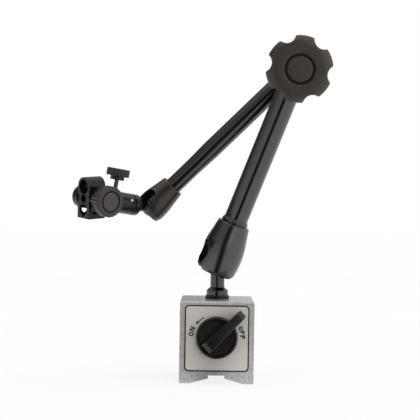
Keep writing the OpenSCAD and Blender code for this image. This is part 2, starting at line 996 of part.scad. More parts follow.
module upper_tube() {
    color("#2e2c2d")
        upper_frame()
            difference() {
                rotate_extrude()
                    polygon([
                        [0, upper_shell[RIM_Z]], [upper_waist_d / 2, upper_shell[RIM_Z]],
                        [upper_waist_d / 2, waist_from], [upper_tube_d / 2, waist_to],
                        [upper_tube_d / 2, upper_len - shoulder], [0, upper_len - shoulder]
                    ]);
                translate([0, 0, upper_shell[RIM_Z] - cut])
                    cylinder(d = upper_bore_d, h = upper_len);
            }
}

module upper_push_rod() {
    color("silver")
        upper_frame()
            push_rod(upper_rod_d, upper_shoe[1] + run, upper_rod_top);
}

module upper_ball_shoe() {
    color("goldenrod")
        upper_frame()
            ball_shoe(upper_ball_d, upper_shoe);
}

module upper_socket() {
    color("#2e2c2d")
        upper_slot_frame()
            ball_socket(
                upper_shell, upper_ball_d, upper_neck_d, upper_hole_z, chamber_top[1],
                upper_bore_d - 2 * fix, upper_shell[RIM_Z] + shank_len, upper_rod_d
            );
}

// ---------- Head ----------

module head_ball_stud() {
    color("#2b2b2b")
        head_frame() {
            sphere(d = upper_ball_d, $fn = 96);
            cylinder(d = upper_neck_d, h = collar_a[0]);
            cylinder(d = stud_thread_d, h = stud_thread_end);
        }
}

module hinge_block() {
    color("#2b2b2b")
        head_frame()
            difference() {
                union() {
                    rotate_extrude()
                        polygon([
                            [0, collar_a[0]], [head_d / 2 - 2.1, collar_a[0]],
                            [head_d / 2, collar_a[1]],
                            [head_d / 2, collar_a[2]], [0, collar_a[2]]
                        ]);
                    // Tongue that the pin goes through and the thumb screw presses
                    translate([-tongue_t / 2, tongue_bottom, collar_a[2] - cut])
                        cube([tongue_t, tongue_top - tongue_bottom, tongue_step + cut]);
                    translate([-tongue_t / 2, tongue_bottom, collar_a[2] - cut])
                        cube([tongue_t, tongue_low_top - tongue_bottom, tongue_len + cut]);
                }
                translate([0, 0, collar_a[0] - cut])
                    cylinder(d = stud_thread_d + 2 * run, h = stud_thread_end + 0.2 - collar_a[0] + cut);
                translate([0, pin_c, pin_a])
                    disc_x(pin_d + 2 * fix, -head_d, head_d);
                // Seat for the return spring
                translate([0, -1.6, thumb_a])
                    rotate([90, 0, 0])
                        cylinder(d = spring_pocket_d, h = 4);
            }
}

module hinge_pin() {
    color("white")
        head_frame()
            translate([0, pin_c, pin_a])
                disc_x(pin_d, -pin_len / 2, pin_len / 2);
}

module fine_body() {
    side = tongue_t / 2 + 0.15;
    low = tongue_bottom - tongue_room;
    root = collar_a[2] + tongue_room;
    color("#2b2b2b")
        head_frame()
            difference() {
                union() {
                    translate([0, 0, body_a[0]])
                        cylinder(d = head_d, h = body_a[1] - body_a[0]);
                    // Blade that carries the clamp bolt
                    intersection() {
                        translate([blade_b[0], -blade_d / 2, body_a[1] - cut])
                            cube([blade_b[1] - blade_b[0], blade_d, clamp_reach - body_a[1] + cut]);
                        translate([0, 0, body_a[1] - 2 * cut])
                            cylinder(d = head_d + 4, h = clamp_reach);
                    }
                    translate([0, 0, clamp_reach])
                        disc_x(blade_d, blade_b[0], blade_b[1]);
                }
                // Room for the tongue
                translate([-side, low, body_a[0] - cut])
                    cube([2 * side, tongue_top + 0.5 - low, root + tongue_step - 0.1 - body_a[0] + cut]);
                translate([-side, low, body_a[0] - cut])
                    cube([2 * side, tongue_low_top + tongue_room - low, root + tongue_len - body_a[0] + cut]);
                translate([0, pin_c, pin_a])
                    disc_x(pin_d + 2 * run, -head_d, head_d);
                // Oil hole beside the pin
                translate([0, 1.3, pin_a - 1.9])
                    disc_x(oil_hole_d, 0, head_d);
                // Tapped hole for the thumb screw, and the pocket for the return spring
                translate([0, 0, thumb_a])
                    rotate([-90, 0, 0])
                        cylinder(d = thumb_hole_d, h = head_d);
                translate([0, -3, thumb_a])
                    rotate([90, 0, 0])
                        cylinder(d = spring_pocket_d, h = 3.6);
                translate([0, 0, clamp_reach])
                    disc_x(clamp_bolt_d + 2 * fix, -head_d, head_d);
            }
}

module fine_spring() {
    color("lightgray")
        head_frame()
            translate([0, -6.5, thumb_a])
                rotate([-90, 0, 0])
                    coil(spring_mean_d, spring_wire_d, spring_len, 5);
}

module thumb_pad() {
    color("goldenrod")
        head_frame()
            translate([0, thumb_pad_c, thumb_a])
                rotate([-90, 0, 0])
                    cylinder(d = thumb_pad_d, h = thumb_pad_t, $fn = 96);
}

module thumb_screw() {
    color("#3a3a38")
        head_frame()
            translate([0, thumb_screw_c, thumb_a])
                rotate([-90, 0, 0])
                    cylinder(d = thumb_screw_d, h = thumb_screw_len);
}

module thumb_screw_head() {
    hole = thumb_screw_c + thumb_screw_len - thumb_head_c;
    color("#2a2a28")
        head_frame()
            translate([0, thumb_head_c, thumb_a])
                rotate([-90, 0, 0])
                    difference() {
                        union() {
                            cylinder(d = thumb_collar_d, h = thumb_collar_t + 0.4);
                            translate([0, 0, thumb_collar_t])
                                fluted_disc(thumb_head_d, thumb_head_t, thumb_flutes, 1.9, 0.6);
                        }
                        translate([0, 0, -cut])
                            cylinder(d = thumb_screw_d + 2 * fix, h = hole + cut);
                    }
}

// Front view of the stem clamp: x along the bolt, y up
module clamp_outline() {
    mid = (clamp_b[0] + clamp_b[1]) / 2;
    wide = clamp_b[1] - clamp_b[0];
    difference() {
        union() {
            translate([mid, eye_up])
                circle(d = wide);
            translate([clamp_b[0], clamp_foot])
                square([wide, eye_up - clamp_foot]);
        }
        translate([mid, eye_up])
            circle(d = stem_d + 2 * eye_clear);
        translate([mid, 0])
            circle(d = bolt_eye_d);
        translate([mid, small_eye_up])
            circle(d = small_stem_d + 2 * eye_clear);
        translate([mid - slit_t / 2, clamp_foot - cut])
            square([slit_t, eye_up - clamp_foot + cut]);
    }
}

module stem_clamp() {
    color("#2b2b2b")
        clamp_frame()
            difference() {
                translate([0, 0, -clamp_half])
                    linear_extrude(2 * clamp_half)
                        clamp_outline();
                disc_x(clamp_bolt_d + 2 * run, -head_d, 2 * head_d);
                translate([0, small_eye_up, cross_hole_a])
                    disc_x(cross_hole_d + 2 * eye_clear, -head_d, 2 * head_d);
            }
}

module clamp_bolt() {
    color("#3a3a38")
        head_frame()
            translate([0, 0, clamp_reach])
                difference() {
                    union() {
                        disc_x(clamp_bolt_d, blade_b[0] - 1, clamp_knob_b[2] - 4);
                        disc_x(clamp_bolt_head_d, blade_b[0] - clamp_bolt_head_t, blade_b[0] - fix);
                    }
                    translate([blade_b[0] - clamp_bolt_head_t - 1, -0.6, -6])
                        cube([2, 1.2, 12]);
                }
}

module clamp_washer() {
    color("silver")
        clamp_frame()
            difference() {
                disc_x(clamp_washer_d, clamp_b[1] + run, clamp_knob_b[0] - run);
                disc_x(clamp_bolt_d + 2 * run, clamp_b[1] - cut, clamp_knob_b[0] + cut);
            }
}

module clamp_knob() {
    b = clamp_knob_b;
    face = b[2] - b[0];
    hub = b[1] - b[0];
    color("#2a2a28")
        clamp_frame()
            translate([b[0], 0, 0])
                rotate([0, 90, 0])
                    difference() {
                        union() {
                            fluted_disc(clamp_hub_d, hub + cut, clamp_hub_flutes, 2, 0.8);
                            translate([0, 0, hub])
                                fluted_disc(clamp_knob_d, face - hub, clamp_flutes, 1.8, 0.7);
                        }
                        translate([0, 0, -cut])
                            cylinder(d = clamp_insert_d + 2 * fix, h = clamp_insert_len + 0.1 + cut);
                        translate([0, 0, -cut])
                            cylinder(d = clamp_bolt_d + 0.6, h = clamp_bore_len);
                        translate([0, 0, face - clamp_recess])
                            cylinder(d = clamp_cap_d + 2 * clamp_cap_gap, h = clamp_recess + cut);
                    }
}

module clamp_knob_insert() {
    color("goldenrod")
        clamp_frame()
            difference() {
                disc_x(clamp_insert_d, clamp_knob_b[0], clamp_knob_b[0] + clamp_insert_len);
                disc_x(clamp_bolt_d + 2 * run, 0, clamp_knob_b[2]);
            }
}

module clamp_knob_cap() {
    r = clamp_cap_d / 2;
    color("#454545")
        clamp_frame()
            translate([clamp_knob_b[2] - clamp_recess, 0, 0])
                rotate([0, 90, 0])
                    rotate_extrude()
                        polygon([
                            [0, 0], [r, 0], [r, clamp_recess - 0.3], [r - 0.35, clamp_recess], [0, clamp_recess]
                        ]);
}

// ---------- Nodes ----------

base_left_pole();
base_right_pole();
top_separator();
bottom_separator();
name_plate();
back_cover();
back_cover_screws();
spindle_bush();
stop_pin();
magnet_rotor();
rotor_spindle();
switch_knob();
switch_knob_pin();
post_washer();
lower_ball_stud();
lower_ball_shoe();
lower_socket();
lower_lock_ring();
lower_tube();
lower_push_rod();
lower_elbow_head();
front_cone();
front_spring();
elbow_knob();
elbow_knob_insert();
elbow_knob_cap();
friction_washer();
elbow_bolt();
rear_cone();
rear_spring();
upper_elbow_head();
upper_tube();
upper_push_rod();
upper_ball_shoe();
upper_socket();
head_ball_stud();
hinge_block();
hinge_pin();
fine_body();
fine_spring();
thumb_pad();
thumb_screw();
thumb_screw_head();
stem_clamp();
clamp_bolt();
clamp_washer();
clamp_knob();
clamp_knob_insert();
clamp_knob_cap();
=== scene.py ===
import json
import math

import bmesh
import bpy
from mathutils import Matrix, Vector


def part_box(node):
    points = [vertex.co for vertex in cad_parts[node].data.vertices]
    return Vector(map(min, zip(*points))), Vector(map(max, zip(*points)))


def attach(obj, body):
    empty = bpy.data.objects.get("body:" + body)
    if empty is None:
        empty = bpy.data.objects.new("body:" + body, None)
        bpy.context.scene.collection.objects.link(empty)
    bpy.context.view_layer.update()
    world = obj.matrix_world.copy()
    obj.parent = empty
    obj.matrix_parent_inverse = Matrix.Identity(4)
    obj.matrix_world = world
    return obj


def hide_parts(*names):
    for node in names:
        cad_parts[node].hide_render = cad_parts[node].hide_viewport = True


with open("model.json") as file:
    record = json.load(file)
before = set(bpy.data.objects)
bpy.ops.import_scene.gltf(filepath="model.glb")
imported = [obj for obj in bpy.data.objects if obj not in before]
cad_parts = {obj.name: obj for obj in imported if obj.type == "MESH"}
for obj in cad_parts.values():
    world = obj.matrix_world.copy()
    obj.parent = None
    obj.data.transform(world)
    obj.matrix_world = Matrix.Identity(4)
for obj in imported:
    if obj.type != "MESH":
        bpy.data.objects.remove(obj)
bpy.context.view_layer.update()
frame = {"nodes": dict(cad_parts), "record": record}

# Articulated indicator stand on a switchable magnetic base: materials, moulded knobs, plate print,
# studio and camera. Profiles and outlines are in millimetres, everything else is in metres.
MM = 0.001
NODES = frame["nodes"]
JOINTS = {j["name"]: j for j in frame["record"]["behaviour"]["joints"]}


# ---------------------------------------------------------------- frames

def joint_axis(name):
    return Vector(JOINTS[name]["axis"]).normalized()


def joint_pos(name):
    return Vector(JOINTS[name]["pos_m"])


def basis(origin, z_axis, x_hint):
    """A frame with its Z along z_axis and its X as near x_hint as it can be."""
    z = z_axis.normalized()
    x = (x_hint - z * x_hint.dot(z)).normalized()
    y = z.cross(x)
    m = Matrix((x, y, z)).transposed().to_4x4()
    m.translation = origin
    return m


LOWER_AXIS = joint_axis("lower_spin")
UPPER_AXIS = joint_axis("upper_rod_slide")
HEAD_AXIS = joint_axis("head_swivel")
KNOB_AXIS = joint_axis("elbow_knob_turn")
CLAMP_AXIS = joint_axis("clamp_knob_turn")
THUMB_AXIS = joint_axis("thumb_turn")
ELBOW = joint_pos("elbow_knob_turn")
# Elbow knob: Z out of its face, X across the lower arm
KNOB_FRAME = basis(ELBOW, KNOB_AXIS, LOWER_AXIS.cross(KNOB_AXIS))
THUMB_FRAME = basis(joint_pos("thumb_turn"), -THUMB_AXIS, HEAD_AXIS)
CLAMP_FRAME = basis(joint_pos("clamp_knob_turn"), CLAMP_AXIS, HEAD_AXIS)
SWITCH_FRAME = basis(joint_pos("switch_turn"), Vector((0, -1, 0)), Vector((1, 0, 0)))


# ---------------------------------------------------------------- shader helpers

class Tree:
    """A small helper that adds nodes to a material and links them."""

    def __init__(self, tree):
        self.tree = tree

    def node(self, kind, **settings):
        n = self.tree.nodes.new(kind)
        for key, value in settings.items():
            setattr(n, key, value)
        return n

    def feed(self, socket, value):
        if isinstance(value, bpy.types.NodeSocket):
            self.tree.links.new(value, socket)
        elif value is not None:
            socket.default_value = value

    def math(self, op, a, b):
        n = self.node("ShaderNodeMath", operation=op)
        self.feed(n.inputs[0], a)
        self.feed(n.inputs[1], b)
        return n.outputs[0]

    def span(self, value, from_low, from_high, to_low=0.0, to_high=1.0):
        """The value's place between two limits, eased, as a number between two others."""
        n = self.node("ShaderNodeMapRange", interpolation_type="SMOOTHSTEP")
        self.feed(n.inputs["Value"], value)
        for key, v in (("From Min", from_low), ("From Max", from_high),
                       ("To Min", to_low), ("To Max", to_high)):
            n.inputs[key].default_value = v
        return n.outputs["Result"]

    def mix(self, factor, a, b):
        n = self.node("ShaderNodeMix", data_type="RGBA")
        self.feed(n.inputs["Factor"], factor)
        self.feed(n.inputs["A"], a)
        self.feed(n.inputs["B"], b)
        return n.outputs["Result"]

    def noise(self, where, scale, detail, rough):
        n = self.node("ShaderNodeTexNoise")
        self.feed(n.inputs["Vector"], where)
        n.inputs["Scale"].default_value = scale
        n.inputs["Detail"].default_value = detail
        n.inputs["Roughness"].default_value = rough
        return n.outputs["Fac"]

    def cells(self, where, scale):
        """Distance to the nearest of scattered points, with soft ridges between them."""
        n = self.node("ShaderNodeTexVoronoi", feature="SMOOTH_F1")
        self.feed(n.inputs["Vector"], where)
        n.inputs["Scale"].default_value = scale
        return n.outputs["Distance"]

    def place(self):
        """Where a point is on its own piece."""
        return self.node("ShaderNodeTexCoord").outputs["Object"]

    def along(self, where, axis):
        """How far a point is along an axis of the row frame, in metres."""
        n = self.node("ShaderNodeVectorMath", operation="DOT_PRODUCT")
        self.feed(n.inputs[0], where)
        n.inputs[1].default_value = axis
        return n.outputs["Value"]

    def rings(self, where, axis, per_metre):
        """Turning marks: noise that changes only along an axis."""
        n = self.node("ShaderNodeTexNoise", noise_dimensions="1D")
        self.feed(n.inputs["W"], self.along(where, axis))
        n.inputs["Scale"].default_value = per_metre
        n.inputs["Detail"].default_value = 3.0
        return n.outputs["Fac"]

    def bump(self, height, distance, strength, normal=None):
        n = self.node("ShaderNodeBump")
        self.feed(n.inputs["Height"], height)
        n.inputs["Distance"].default_value = distance
        n.inputs["Strength"].default_value = strength
        self.feed(n.inputs["Normal"], normal)
        return n.outputs["Normal"]

    def edges(self, radius):
        """(rounded normal, how near a convex edge is from 0 to 1)"""
        bevel = self.node("ShaderNodeBevel", samples=6)
        bevel.inputs["Radius"].default_value = radius
        true = self.node("ShaderNodeNewGeometry").outputs["Normal"]
        dot = self.node("ShaderNodeVectorMath", operation="DOT_PRODUCT")
        self.feed(dot.inputs[0], bevel.outputs["Normal"])
        self.feed(dot.inputs[1], true)
        return bevel.outputs["Normal"], self.span(dot.outputs["Value"], 0.995, 0.86)


def new_material(name):
    m = bpy.data.materials.new(name)
    m.use_nodes = True
    m.node_tree.nodes.clear()
    t = Tree(m.node_tree)
    out = t.node("ShaderNodeOutputMaterial")
    shader = t.node("ShaderNodeBsdfPrincipled")
    t.tree.links.new(shader.outputs["BSDF"], out.inputs["Surface"])
    return m, t, shader


def grey(v, tint=(1.0, 1.0, 1.0)):
    return (v * tint[0], v * tint[1], v * tint[2], 1.0)


def black_metal(name, axis=None, base=0.0032, rough=0.15, worn=0.09, level=1.0,
                tint=(1.0, 0.93, 0.98)):
    """Satin black oxide on turned steel: faint turning marks, smudges and rubbed edges."""
    m, t, s = new_material(name)
    where = t.place()
    smudge = t.noise(where, 55.0, 4.0, 0.6)
    fine = t.noise(where, 900.0, 3.0, 0.6)
    rounded, edge = t.edges(0.00035)
    broken = t.span(t.noise(where, 420.0, 4.0, 0.65), 0.42, 0.62)
    wear = t.math("MULTIPLY", edge, broken)
    dark = t.mix(smudge, grey(base * 0.8, (1.0, 0.94, 0.90)), grey(base * 1.25, (1.0, 0.95, 0.96)))
    t.feed(s.inputs["Base Color"], t.mix(t.math("MULTIPLY", wear, 0.75), dark, grey(worn)))
    t.feed(s.inputs["Metallic"], t.math("MULTIPLY", wear, 0.5))
    rough_now = t.math("ADD", t.math("MULTIPLY", t.math("SUBTRACT", smudge, 0.5), 0.12), rough)
    t.feed(s.inputs["Roughness"], t.math("ADD", rough_now, t.math("MULTIPLY", fine, 0.02)))
    s.inputs["Specular IOR Level"].default_value = level
    s.inputs["Specular Tint"].default_value = tint + (1.0,)
    normal = t.bump(fine, 0.00001, 0.05, rounded)
    if axis is not None:
        normal = t.bump(t.rings(where, axis, 1800.0), 0.000004, 0.12, normal)
    t.feed(s.inputs["Normal"], normal)
    return m


def moulded(name, base=0.024, rough=0.46, tint=(1.0, 0.93, 0.87), grain=1500.0, depth=0.00004,
            level=0.55):
    """Moulded plastic with a fine spark-eroded grain, slightly polished edges and a painted highlight that
    lightens every edge.
    """
    m, t, s = new_material(name)
    where = t.place()
    cloud = t.noise(where, 38.0, 3.0, 0.55)
    pits = t.noise(where, grain, 2.0, 0.55)
    rounded, edge = t.edges(0.0005)
    colour = t.mix(cloud, grey(base * 0.82, tint), grey(base * 1.2, tint))
    # Painted highlight: every edge is lightened to a paler grey of the plastic.
    t.feed(s.inputs["Base Color"], t.mix(t.math("MULTIPLY", edge, 0.5), colour, grey(base * 2.2, tint)))
    drift = t.math("MULTIPLY", t.math("SUBTRACT", cloud, 0.5), 0.16)
    t.feed(s.inputs["Roughness"], t.math("SUBTRACT", t.math("ADD", drift, rough),
                                         t.math("MULTIPLY", edge, 0.08)))
    s.inputs["Specular IOR Level"].default_value = level
    s.inputs["Specular Tint"].default_value = tint + (1.0,)
    t.feed(s.inputs["Normal"], t.bump(pits, depth, 0.3, rounded))
    return m


def hammered_paint(name):
    """Light grey hammered enamel: shallow dimples, metallic speckle, darker in the hollows, with a painted
    highlight lightening the edges.
    """
    m, t, s = new_material(name)
    where = t.place()
    dimples = t.cells(where, 620.0)
    fleck = t.noise(where, 1900.0, 2.0, 0.7)
    drift = t.noise(where, 30.0, 4.0, 0.6)
    rounded, edge = t.edges(0.0004)
    pale = t.mix(drift, (0.325, 0.325, 0.33, 1.0), (0.38, 0.38, 0.38, 1.0))
    specked = t.mix(t.span(fleck, 0.34, 0.62), (0.185, 0.185, 0.19, 1.0), pale)
    hollow = t.mix(t.span(dimples, 0.0, 0.55), specked, grey(0.43))
    # Painted highlight: every edge is lightened towards a pale grey.
    t.feed(s.inputs["Base Color"], t.mix(t.math("MULTIPLY", edge, 0.6), hollow, grey(0.64)))
    s.inputs["Metallic"].default_value = 0.18
    t.feed(s.inputs["Roughness"], t.span(drift, 0.2, 0.8, 0.34, 0.50))
    s.inputs["Coat Weight"].default_value = 0.9
    s.inputs["Coat Roughness"].default_value = 0.22
    normal = t.bump(dimples, 0.00012, 0.55, rounded)
    t.feed(s.inputs["Normal"], t.bump(fleck, 0.00003, 0.3, normal))
    return m


def satin_plate(name):
    """Satin silver plate with a fine brushing across it."""
    m, t, s = new_material(name)
    where = t.place()
    stretch = t.node("ShaderNodeMapping")
    t.feed(stretch.inputs["Vector"], where)
    stretch.inputs["Scale"].default_value = (60.0, 60.0, 2600.0)
    brushed = t.noise(stretch.outputs["Vector"], 1.0, 4.0, 0.6)
    cloud = t.noise(where, 45.0, 4.0, 0.6)
    rounded, edge = t.edges(0.0002)
    colour = t.mix(brushed, (0.560, 0.540, 0.495, 1.0), (0.640, 0.620, 0.575, 1.0))
    cloudy = t.mix(t.math("MULTIPLY", cloud, 0.35), colour, grey(0.52, (1, 0.97, 0.93)))
    t.feed(s.inputs["Base Color"], cloudy)
    s.inputs["Metallic"].default_value = 0.2
    t.feed(s.inputs["Roughness"], t.span(brushed, 0.2, 0.8, 0.42, 0.56))
    t.feed(s.inputs["Normal"], t.bump(brushed, 0.00002, 0.35, rounded))
    return m


def bright_metal(name, colour, rough=0.28, axis=None, grain=700.0):
    """Turned or ground metal with its tool marks and slight stains."""
    m, t, s = new_material(name)
    where = t.place()
    stain = t.noise(where, 120.0, 4.0, 0.6)
    fine = t.noise(where, grain, 3.0, 0.6)
    rounded, edge = t.edges(0.0002)
    dull = tuple(c * 0.72 for c in colour) + (1.0,)
    t.feed(s.inputs["Base Color"], t.mix(stain, dull, tuple(colour) + (1.0,)))
    s.inputs["Metallic"].default_value = 1.0
    t.feed(s.inputs["Roughness"], t.math("ADD", t.math("MULTIPLY", fine, 0.12), rough - 0.06))
    normal = t.bump(fine, 0.00002, 0.2, rounded)
    if axis is not None:
        normal = t.bump(t.rings(where, axis, 3000.0), 0.00001, 0.5, normal)
    t.feed(s.inputs["Normal"], normal)
    return m


def printed_ink(name):
    """Screen-printed black ink with a little unevenness."""
    m, t, s = new_material(name)
    where = t.place()
    cover = t.noise(where, 900.0, 3.0, 0.6)
    t.feed(s.inputs["Base Color"], t.mix(cover, grey(0.005), grey(0.012)))
    t.feed(s.inputs["Roughness"], t.span(cover, 0.2, 0.8, 0.42, 0.60))
    t.feed(s.inputs["Normal"], t.bump(cover, 0.00001, 0.3))
    return m


MAT = {
    "paint": hammered_paint("hammered_grey_paint"),
    "plate": satin_plate("satin_silver_plate"),
    "lower": black_metal("black_oxide_lower_arm", LOWER_AXIS),
    "upper": black_metal("black_oxide_upper_arm", UPPER_AXIS, level=0.80, tint=(1.0, 0.93, 0.90)),
    "head": black_metal("black_oxide_head", HEAD_AXIS, base=0.003, rough=0.20, level=0.35,
                        tint=(1.0, 0.96, 0.84)),
    "lower_socket": black_metal("black_oxide_lower_socket", LOWER_AXIS, base=0.005, rough=0.18),
    "upper_socket": black_metal("black_oxide_upper_socket", UPPER_AXIS, base=0.009, rough=0.32,
                                level=0.60, tint=(1.0, 0.89, 0.80)),
    "post": black_metal("black_oxide_post", Vector((0, 0, 1)), base=0.0025, level=0.82),
    "ring": black_metal("black_oxide_ring", LOWER_AXIS, base=0.003, rough=0.28, level=0.60),
    "dull_black": black_metal("dull_black_steel", None, base=0.0018, rough=0.30, level=0.30),
    "clamp": black_metal("black_oxide_clamp", None, base=0.004, rough=0.24, worn=0.14, level=0.27,
                         tint=(1.0, 0.95, 0.92)),
    "knob": moulded("moulded_knob_plastic", base=0.018, tint=(1.0, 0.89, 0.81)),
    "cap": moulded("smooth_cap_plastic", base=0.022, rough=0.40, tint=(1.0, 0.90, 0.85),
                   grain=2400.0, depth=0.00002),
    "switch": moulded("black_switch_plastic", base=0.0035, rough=0.34, tint=(1.0, 0.93, 0.90),
                      level=0.38),
    "small_knob": moulded("small_knob_plastic", base=0.014, rough=0.44),
    "clamp_cap": moulded("clamp_cap_plastic", base=0.025, rough=0.42, grain=2400.0, depth=0.00002),
    "bright": bright_metal("bright_ground_steel", (0.62, 0.61, 0.60)),
    "dark": bright_metal("blackened_screw_steel", (0.10, 0.10, 0.105), rough=0.36),
    "brass": bright_metal("turned_brass", (0.66, 0.47, 0.21), rough=0.30),
    "magnet": bright_metal("sintered_magnet", (0.09, 0.09, 0.10), rough=0.50, grain=1500.0),
    "ink": printed_ink("printed_black_ink"),
}


# ---------------------------------------------------------------- mesh helpers

def put(name, bm, material, body, smooth=True):
    """A finished mesh as a piece that rides on a body, drawn in the row frame."""
    bmesh.ops.recalc_face_normals(bm, faces=bm.faces)
    mesh = bpy.data.meshes.new(name)
    bm.to_mesh(mesh)
    bm.free()
    for p in mesh.polygons:
        p.use_smooth = smooth
    mesh.materials.append(MAT[material])
    o = bpy.data.objects.new(name, mesh)
    bpy.context.scene.collection.objects.link(o)
    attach(o, body)
    return o


def stands_for(node):
    """The CAD node is hidden, as a piece is drawn in its place."""
    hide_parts(node)


def rounded_outline(sharp, sigma, count):
    """Resamples a closed outline evenly and smooths it, so that its corners become round."""
    closed = sharp + [sharp[0]]
    lengths = [0.0]
    for a, b in zip(closed, closed[1:]):
        lengths.append(lengths[-1] + math.dist(a, b))
    step = lengths[-1] / count
    points, k = [], 0
    for i in range(count):
        want = i * step
        while lengths[k + 1] < want:
            k += 1
        f = (want - lengths[k]) / (lengths[k + 1] - lengths[k])
        a, b = closed[k], closed[k + 1]
        points.append((a[0] + (b[0] - a[0]) * f, a[1] + (b[1] - a[1]) * f))
    reach = max(1, int(3 * sigma / step))
    weights = [math.exp(-0.5 * (j * step / sigma) ** 2) for j in range(-reach, reach + 1)]
    total = sum(weights)
    result = []
    for i in range(count):
        x = y = 0.0
        for w, j in zip(weights, range(-reach, reach + 1)):
            p = points[(i + j) % count]
            x += p[0] * w
            y += p[1] * w
        result.append((x / total, y / total))
    return result


def cut_circle(radius, count, bite_r, bite_at, phase, fine=1440):
    """A circle with round bites out of its rim, as a list of points."""
    points = []
    for i in range(fine):
        a = 2 * math.pi * i / fine
        r = radius
        for k in range(count):
            off = (a - phase - 2 * math.pi * k / count + math.pi) % (2 * math.pi) - math.pi
            side = bite_r ** 2 - (bite_at * math.sin(off)) ** 2
            if abs(off) < 1.0 and side > 0:
                r = min(r, bite_at * math.cos(off) - math.sqrt(side))
        points.append((r * math.cos(a), r * math.sin(a)))
    return points


def shrink(outline, amount):
    """The outline moved inwards along its normals."""
    n = len(outline)
    result = []
    for i, p in enumerate(outline):
        a, b = outline[i - 1], outline[(i + 1) % n]
        tx, ty = b[0] - a[0], b[1] - a[1]
        size = math.hypot(tx, ty) or 1.0
        result.append((p[0] - amount * ty / size, p[1] + amount * tx / size))
    return result


def loft(name, frame_at, rings, material, body):
    """A closed skin through rings of points in millimetres: each ring is a list of (x, y, z)."""
    bm = bmesh.new()
    rows = [[bm.verts.new(frame_at @ (Vector(p) * MM)) for p in ring] for ring in rings]
    n = len(rows[0])
    for low, high in zip(rows, rows[1:]):
        for i in range(n):
            j = (i + 1) % n
            bm.faces.new((low[i], low[j], high[j], high[i]))
    bm.faces.new(rows[0][::-1])
    bm.faces.new(rows[-1])
    return put(name, bm, material, body)


def flat_ring(outline, z):
    return [(x, y, z) for x, y in outline]


def scaled(outline, factor):
    return [(x * factor, y * factor) for x, y in outline]


def circle(radius, count):
    return [(radius * math.cos(2 * math.pi * i / count), radius * math.sin(2 * math.pi * i / count))
            for i in range(count)]


def by_angle(outline, radius):
    """The circle whose points lie at the same angles as the outline's."""
    return [(radius * x / math.hypot(x, y), radius * y / math.hypot(x, y)) for x, y in outline]


def lathe(name, frame_at, profile, material, body, count=96):
    """A revolved profile of (radius, z) in millimetres, closed on the axis at both ends."""
    rings = [flat_ring(circle(max(r, 0.001), count), z) for r, z in profile]
    return loft(name, frame_at, rings, material, body)


def fillet(profile, radius, steps=4):
    """Rounds the inner corners of an open profile."""
    result = [profile[0]]
    for a, b, c in zip(profile, profile[1:], profile[2:]):
        va = Vector((a[0] - b[0], a[1] - b[1]))
        vc = Vector((c[0] - b[0], c[1] - b[1]))
        r = min(radius, va.length * 0.45, vc.length * 0.45)
        p0 = Vector(b) + va.normalized() * r
        p1 = Vector(b) + vc.normalized() * r
        for k in range(steps + 1):
            f = k / steps
            q = p0.lerp(Vector(b), f).lerp(Vector(b).lerp(p1, f), f)
            result.append((q.x, q.y))
    result.append(profile[-1])
    return result


# ---------------------------------------------------------------- CAD nodes keep their shapes

FINISH = {
    "base_left_pole": "paint", "base_right_pole": "paint", "top_separator": "paint",
    "bottom_separator": "paint", "name_plate": "plate", "back_cover": "plate",
    "back_cover_screws": "dark", "spindle_bush": "brass", "stop_pin": "bright",
    "magnet_rotor": "magnet", "rotor_spindle": "brass", "switch_knob": "switch",
    "switch_knob_pin": "bright", "post_washer": "dull_black", "lower_ball_stud": "post",
    "lower_ball_shoe": "dark", "lower_socket": "lower_socket", "lower_lock_ring": "ring",
    "lower_tube": "lower", "lower_push_rod": "bright", "lower_elbow_head": "lower",
    "front_cone": "bright", "front_spring": "bright", "elbow_knob": "knob",
    "elbow_knob_insert": "brass", "elbow_knob_cap": "cap", "friction_washer": "brass",
    "elbow_bolt": "dark", "rear_cone": "bright", "rear_spring": "bright",
    "upper_elbow_head": "upper", "upper_tube": "upper", "upper_push_rod": "bright",
    "upper_ball_shoe": "dark", "upper_socket": "upper_socket", "head_ball_stud": "head",
    "hinge_block": "head", "hinge_pin": "bright", "fine_body": "head",
    "fine_spring": "bright", "thumb_pad": "brass", "thumb_screw": "dark",
    "thumb_screw_head": "small_knob", "stem_clamp": "clamp", "clamp_bolt": "dark",
    "clamp_washer": "dark", "clamp_knob": "small_knob", "clamp_knob_insert": "brass",
    "clamp_knob_cap": "clamp_cap",
}


def smooth_by_angle(limit):
    """A modifier group that shades curved faces smoothly and keeps edges sharper than the limit."""
    group = bpy.data.node_groups.new("smooth_by_angle", "GeometryNodeTree")
    group.interface.new_socket("Geometry", in_out="INPUT", socket_type="NodeSocketGeometry")
    group.interface.new_socket("Geometry", in_out="OUTPUT", socket_type="NodeSocketGeometry")
    t = Tree(group)
    merge = t.node("GeometryNodeMergeByDistance")
    merge.inputs["Distance"].default_value = 1e-7
    t.feed(merge.inputs["Geometry"], t.node("NodeGroupInput").outputs[0])
    faces = t.node("GeometryNodeSetShadeSmooth", domain="FACE")
    t.feed(faces.inputs["Geometry"], merge.outputs["Geometry"])
    sharp = t.node("FunctionNodeCompare", data_type="FLOAT", operation="GREATER_THAN")
    t.feed(sharp.inputs[0], t.node("GeometryNodeInputMeshEdgeAngle").outputs["Unsigned Angle"])
    sharp.inputs[1].default_value = math.radians(limit)
    edges = t.node("GeometryNodeSetShadeSmooth", domain="EDGE")
    t.feed(edges.inputs["Geometry"], faces.outputs["Geometry"])
    t.feed(edges.inputs["Selection"], sharp.outputs["Result"])
    edges.inputs["Shade Smooth"].default_value = False
    t.feed(t.node("NodeGroupOutput").inputs[0], edges.outputs["Geometry"])
    return group


SMOOTH = smooth_by_angle(24.0)
for node, finish in FINISH.items():
    o = NODES[node]
    o.modifiers.new("smooth", "NODES").node_group = SMOOTH
    if not o.data.materials:
        o.data.materials.append(MAT[finish])
    for i in range(len(o.data.materials)):
        o.data.materials[i] = MAT[finish]


# ---------------------------------------------------------------- elbow knob

